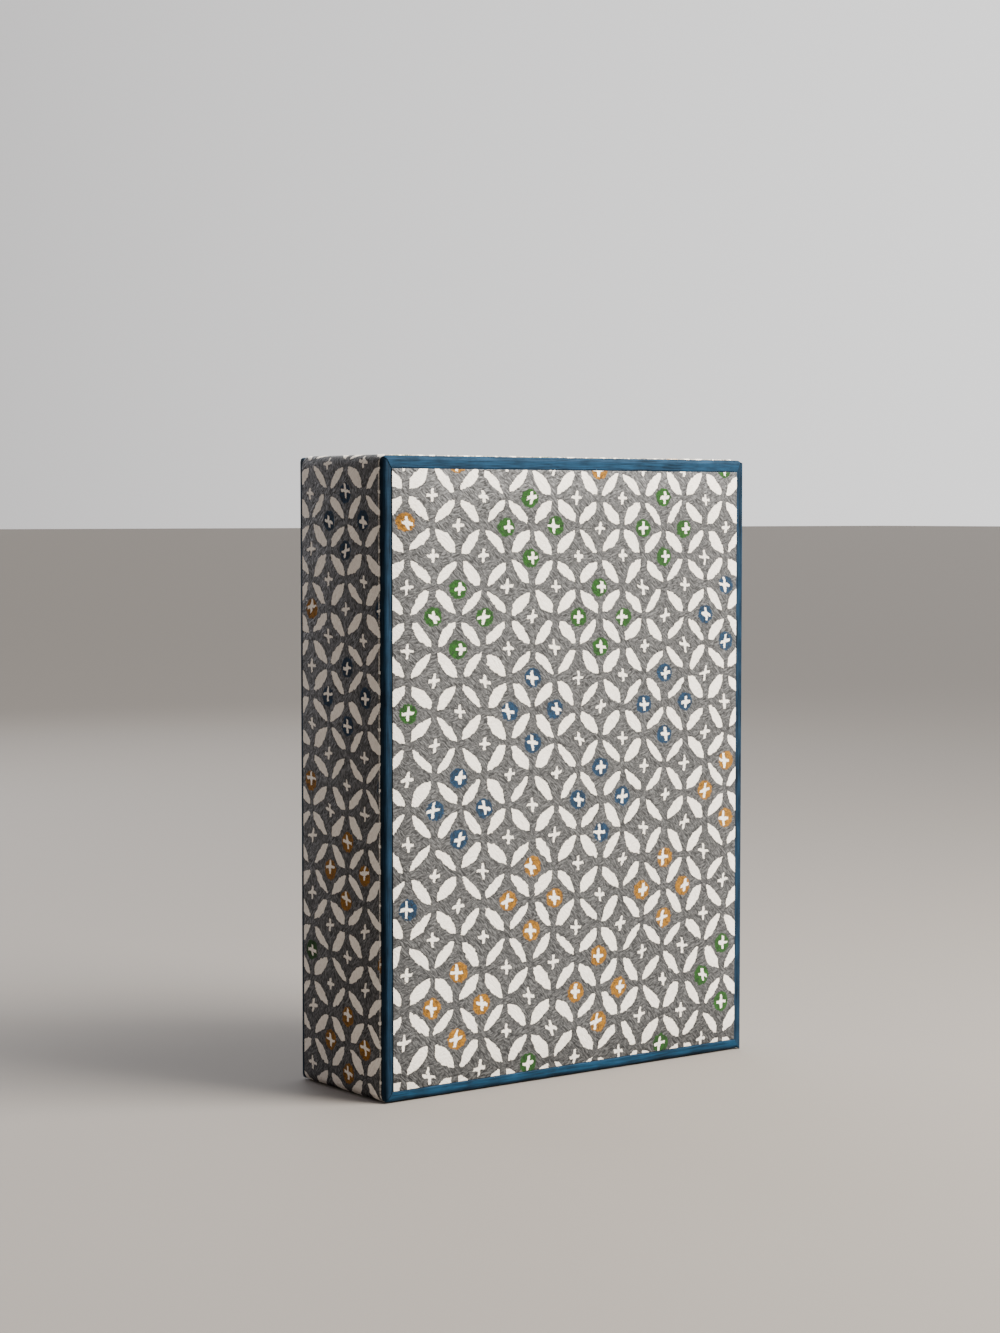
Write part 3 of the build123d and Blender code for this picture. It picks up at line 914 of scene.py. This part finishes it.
def strayed(place, terms):
    """How far in mm a hand-placed row has strayed at a place on a board."""
    x, z = place.x / BOW_SPAN[0], (place.z - middle_z) / BOW_SPAN[1]
    return sum(term * power for term, power in zip(terms, (1, x, z, x * x, z * z)))


def lay_pattern(sheet, across, origin, bow):
    """Lays the pattern on a panel: the UV map counts metres across and up from the pattern's origin."""
    uv = sheet.loops.layers.uv.new("paper")
    for face in sheet.faces:
        for loop in face.loops:
            place = loop.vert.co / MM
            apart = place - Vector(origin)
            stray_across, stray_up = [strayed(place, terms) for terms in bow]
            loop[uv].uv = ((apart.dot(Vector(across)) - stray_across) * MM, (apart.z - stray_up) * MM)


def cut_in_a_net(sheet, low, high):
    """Cuts a panel into a net, so that its UV map can bend."""
    for axis, count in NET:
        normal = Vector((0, 0, 0))
        normal[axis] = 1
        for step in range(1, count):
            cut(sheet, low.lerp(high, step / count), normal)


beside_joint = Vector((BOW_SPAN[0], 0, middle_z))
print("beside the joint the front's pattern strays", round(strayed(beside_joint, BOWED[0]), 1), "mm across")

# %% Panels
BROKEN_EDGE = 0.05
# The body that carries a panel, the way its face looks, the way its pattern runs, where the pattern starts
# in mm, and how its rows are bowed
PANELS = {
    "front": ("front_half", (0, -1, 0), (1, 0, 0), (-19.1, 0, 133.7), BOWED),
    "back": ("back_half", (0, 1, 0), (-1, 0, 0), (14.0, 0, 121.0), STRAIGHT),
    "spine": ("spine", (1, 0, 0), (0, 1, 0), (0, 1.5, 129.0), STRAIGHT),
}
PANEL_PAPER = [patterned_paper, edge_paper_painted_shade]
for name, (body, outwards, across, origin, bow) in PANELS.items():
    low, high = box_mm(name + "_panel")
    if name != "spine":
        low.x += FORE_EDGE_TRIM
    panel = bmesh.new()
    bmesh.ops.create_cube(panel, size=1)
    bmesh.ops.scale(panel, vec=high - low, verts=panel.verts)
    broken = {"affect": "EDGES", "offset": BROKEN_EDGE, "segments": 2, "profile": 0.5, "material": -1}
    bmesh.ops.bevel(panel, geom=panel.edges[:], **broken)
    place_mm(panel, (low + high) / 2)
    for face in panel.faces:
        # The edges take the darker paper, which is painted shade.
        is_face = face.normal.dot(Vector(outwards)) > 0.9
        face.material_index = PANEL_PAPER.index(patterned_paper if is_face else edge_paper_painted_shade)
    if bow != STRAIGHT:
        cut_in_a_net(panel, low * MM, high * MM)
    lay_pattern(panel, across, origin, bow)
    finish_sheet(panel, name + "_panel_paper", PANEL_PAPER, 0, body, [name + "_panel"])

# %% [markdown]
# ## The trays' wraps
#
# One strip of paper goes round each tray's three walls. It is turned under the foot, over the rim and a
# little way down inside. Three pieces, one to a wall, would be simpler but would break the pattern at the
# corners. So its section is drawn once, at the open end of the head wall, and then swept: extruded along
# each wall and spun round each corner. Inside, the corners stay sharp, so there the swept points are moved
# on to the mitre.
#
# The colour rubs off where the paper bends, most along a wall's foot, beside the board. The section keeps
# that on each of its points, and the sweep hands it on. The UV map follows the strip, metres along and
# metres across it, so that the pattern runs round the corners as it does on the paper.

# %% A wrap's section
WALL = 2.4               # board, wrap and lining
LIP = 3.2                # how far the wrap reaches down inside
FOLD_RADIUS = 0.45       # the paper's bend over a board's edge
FOLD_STEPS = 4
FOOT_RUB = 0.8           # the share of the colour that is rubbed off
RIM_RUB = 0.35


def wrap_section(depth):
    """A section's points, from the foot round to the inside: height, how far inwards, and how rubbed."""
    folds = (
        (FOLD_RADIUS, FOLD_RADIUS, 180, FOOT_RUB),
        (depth - FOLD_RADIUS, FOLD_RADIUS, 90, RIM_RUB),
        (depth - FOLD_RADIUS, WALL - FOLD_RADIUS, 0, RIM_RUB),
    )
    points = [(0, WALL - PAPER_THICK, 0)]
    for centre_height, centre_inwards, start, rub in folds:
        for step in range(FOLD_STEPS + 1):
            angle = math.radians(start - 90 * step / FOLD_STEPS)
            height = centre_height + FOLD_RADIUS * math.cos(angle)
            inwards = centre_inwards - FOLD_RADIUS * math.sin(angle)
            points.append((height, inwards, rub * math.sin(math.pi * step / FOLD_STEPS) ** 2))
    return points + [(depth - LIP, WALL, 0)]


print("a section has", len(wrap_section(depth=50)), "points")

# %% Sweeping a wrap
TRAY_CORNER = 3.5
CORNER_STEPS = 10
END_ROUNDING = 0.3       # where the wrap is folded over a wall's open end


def mitre_inside(wrap, inset, low, high):
    """Moves the swept points of the wrap's inside on to the tray's sharp inner corners."""
    for vert in wrap.verts:
        if vert[inset] < WALL - FOLD_RADIUS - TOUCHING or vert.co.x > low.x + TRAY_CORNER - TOUCHING:
            continue
        vert.co.x = min(vert.co.x, low.x + vert[inset])
        for end_z, towards in ((high.z, -1), (low.z, 1)):
            if 0 < towards * (vert.co.z - end_z) < TRAY_CORNER - TOUCHING:
                vert.co.z = end_z + towards * vert[inset]


def tray_wrap(low, high, foot_y, rim_y):
    """The outer face of one tray's wrap, in mm."""
    up = math.copysign(1, rim_y - foot_y)
    wrap = bmesh.new()
    inset = wrap.verts.layers.float.new("inset")
    fold = wrap.verts.layers.float.new("fold")
    line = []
    for height, inwards, rub in wrap_section(abs(rim_y - foot_y)):
        vert = wrap.verts.new((high.x, foot_y + up * height, high.z - inwards))
        vert[inset], vert[fold] = inwards, rub
        line.append(vert)
    first = [wrap.edges.new(pair) for pair in zip(line, line[1:])]
    corner_x, head_z, tail_z = low.x + TRAY_CORNER, high.z - TRAY_CORNER, low.z + TRAY_CORNER
    edges = extrude_edges(wrap, first, (corner_x - high.x, 0, 0))
    edges = spin_edges(wrap, edges, (corner_x, 0, head_z), (0, 1, 0), -math.pi / 2, CORNER_STEPS)
    edges = extrude_edges(wrap, edges, (0, 0, tail_z - head_z))
    edges = spin_edges(wrap, edges, (corner_x, 0, tail_z), (0, 1, 0), -math.pi / 2, CORNER_STEPS)
    last = extrude_edges(wrap, edges, (high.x - corner_x, 0, 0))
    mitre_inside(wrap, inset, low, high)
    for end in (first, last):
        bmesh.ops.contextual_create(wrap, geom=end)
        bevel = {"affect": "EDGES", "offset": END_ROUNDING, "segments": 3, "profile": 0.5, "material": -1}
        bmesh.ops.bevel(wrap, geom=end, **bevel)
    return wrap


print("a tray's corner turns", 90 / CORNER_STEPS, "degrees a step")

# %% The pattern on a wrap
STRIP_SHRINKAGE = 1.014  # mm of pattern to each mm of wall, because the pasted strip shrank as it dried
STRIP_START = (59.5, -13.4)    # the pattern's place in mm, at the wall's foot in the middle of the fore-edge
END_FACES_OUT = 0.7      # a face on a wall's open end looks at least this much along X
END_DEEP = 0.4           # and lies this near the end


def along_walls(point, low, high):
    """How far along the strip a point of the wrap is, in mm from the middle of the fore-edge."""
    corner_x = low.x + TRAY_CORNER
    straight = (high.z - low.z) / 2 - TRAY_CORNER
    down = (low.z + high.z) / 2 - point.z
    if point.x >= corner_x:
        return math.copysign(straight + TRAY_CORNER * math.pi / 2 + point.x - corner_x, down)
    if abs(down) <= straight:
        return down
    angle = math.atan2(abs(down) - straight, corner_x - point.x)
    return math.copysign(straight + TRAY_CORNER * angle, down)


def on_strip(point, low, high, foot_y, is_end):
    """How far along and across the flat strip of paper a point of the wrap is, in mm."""
    height, depth = abs(point.y - foot_y), high.y - low.y
    inwards = min(point.x - low.x, high.z - point.z, point.z - low.z)
    along = along_walls(point, low, high)
    if is_end:
        return along + math.copysign(inwards, along), height
    if height <= depth / 2:
        return along, height - inwards
    if inwards > WALL / 2:
        return along, 2 * depth - height + inwards
    return along, height + inwards


def lay_strip(wrap, low, high, foot_y):
    """Lays the pattern along a wrap: the UV map counts metres along and across its strip of paper."""
    uv = wrap.loops.layers.uv.new("paper")
    wrap.normal_update()
    for face in wrap.faces:
        is_end = abs(face.normal.x) > END_FACES_OUT and face.calc_center_median().x > high.x - END_DEEP
        for loop in face.loops:
            along, across = on_strip(loop.vert.co, low, high, foot_y, is_end)
            loop[uv].uv = ((along * STRIP_SHRINKAGE + STRIP_START[0]) * MM, (STRIP_START[1] - across) * MM)


print("the strip starts at", STRIP_START, "mm of the pattern")

# %% The wraps
for tray, body, slot_name, finish in (
    ("outer_tray", "front_half", "patterned_paper", patterned_paper),
    ("inner_tray", "back_half", "blue_paper", blue_paper),
):
    low, high = box_mm(tray + "_wrap")
    foot_y, rim_y = (low.y, high.y) if tray == "outer_tray" else (high.y, low.y)
    wrap = tray_wrap(low, high, foot_y, rim_y)
    lay_strip(wrap, low, high, foot_y)
    place_mm(wrap)
    finish_sheet(wrap, tray + "_wrap_paper", [finish], PAPER_THICK, body, [tray + "_wrap"])

# %% [markdown]
# ## Linings and boards
#
# The linings and the greyboard are flat sheets and boards, and the frame's own pieces already have the
# right shape. Modelling them again would gain nothing, so they only get their finishes.

# %% Finishes for the frame's own pieces
for name, node in nodes.items():
    if node.hide_render:
        continue
    finish = lining_paper if name.endswith("lining") else greyboard
    for material_slot in node.material_slots:
        material_slot.material = finish
    print(name, "->", finish.name)

# %% [markdown]
# ## Floor, light and camera
#
# A pale floor and broad soft lights suit a matt object. The room is brightest beyond the spine. A window on
# that side of the camera and a soft sun face the front board, so the dull size in the grey shines a little
# there, and the fore-edge wall stays in shade. A fill behind the box keeps its back clear. Brighter lamps
# would not bring out the grey of the fore-edge wall, because a dull surface only shines where light skims
# it, so a low light behind that edge grazes it.

# %% Floor
FLOOR_HALF = 30          # metres, far past what the camera sees
floor_finish, tree = new_finish("pale_studio_floor")
matt = {"Base Color": linear("#78736d"), "Roughness": 0.8}
add(tree, "OutputMaterial", {"Surface": add(tree, "BsdfPrincipled", matt)})
floor = bmesh.new()
bmesh.ops.create_grid(floor, x_segments=1, y_segments=1, size=FLOOR_HALF)
floor_mesh = bpy.data.meshes.new("floor")
floor.to_mesh(floor_mesh)
floor.free()
floor_mesh.materials.append(floor_finish)
floor_piece = bpy.data.objects.new("floor", floor_mesh)
bpy.context.scene.collection.objects.link(floor_piece)
print("floor", 2 * FLOOR_HALF, "m wide")

# %% The room
BRIGHT_SIDE = Vector((0.98, -0.17, 0.05)).normalized()
ROOM_STRENGTH = 1.7
world = bpy.data.worlds.new("studio")
bpy.context.scene.world = world
world.use_nodes = True
tree = world.node_tree
tree.nodes.clear()
direction = add(tree, "TexCoord", out=0)
facing = add(tree, "VectorMath", direction, BRIGHT_SIDE, **DOT)
bright = add(tree, "MapRange", {"Value": facing, "From Min": -0.25, "From Max": 0.95}, **SOFT_STEP)
walls = {FACTOR: bright, COLOUR_A: linear("#6b6463"), COLOUR_B: linear("#ffffff")}
glow = add(tree, "Mix", walls, **COLOUR_MIX)
add(tree, "OutputWorld", {"Surface": add(tree, "Background", glow, ROOM_STRENGTH)})
print("the room is brightest towards", [round(part, 2) for part in BRIGHT_SIDE])


# %% Lights
def lamp(name, kind, place, target, power, colour, **settings):
    """A soft light at a place, turned to a target."""
    data = bpy.data.lights.new(name, kind)
    data.energy, data.color = power, linear(colour)[:3]
    for setting, value in settings.items():
        setattr(data, setting, value)
    light = bpy.data.objects.new(name, data)
    bpy.context.scene.collection.objects.link(light)
    light.location = place
    light.rotation_euler = (Vector(target) - Vector(place)).to_track_quat("-Z", "Y").to_euler()
    print(name, "light", power)


lamp("window", "AREA", (0.46, -0.61, 0.74), (0, 0, 0.16), 38.5, "#fffaf3", shape="SQUARE", size=0.58)
lamp("sky", "SUN", (1.0, -1.2, 1.6), (0, 0, 0), 2.8, "#fffaf4", angle=math.radians(40))
lamp("back_fill", "AREA", (0.25, 1.3, 0.9), (0, 0.03, 0.12), 12.0, "#f4f8ff", shape="SQUARE", size=1.2)
lamp("side_sheen", "AREA", (-0.25, 1.2, 0.34), (-0.08, 0, 0.14), 4.2, "#f6f6ff", shape="SQUARE", size=0.6)

# %% Camera
CAMERA_PLACE = Vector((-0.6075, -0.7957, 0.2049))
CAMERA_LOOKS = Vector((0.5981, 0.7994, -0.0566))
camera = bpy.data.cameras.new("camera")
camera.lens, camera.sensor_width = 73.27, 36.0
camera.clip_start, camera.clip_end = 0.01, 100
view = bpy.data.objects.new("camera", camera)
bpy.context.scene.collection.objects.link(view)
view.location = CAMERA_PLACE
view.rotation_euler = CAMERA_LOOKS.to_track_quat("-Z", "Y").to_euler()
bpy.context.scene.camera = view
print("camera", round(CAMERA_PLACE.length, 2), "m from the box's foot")
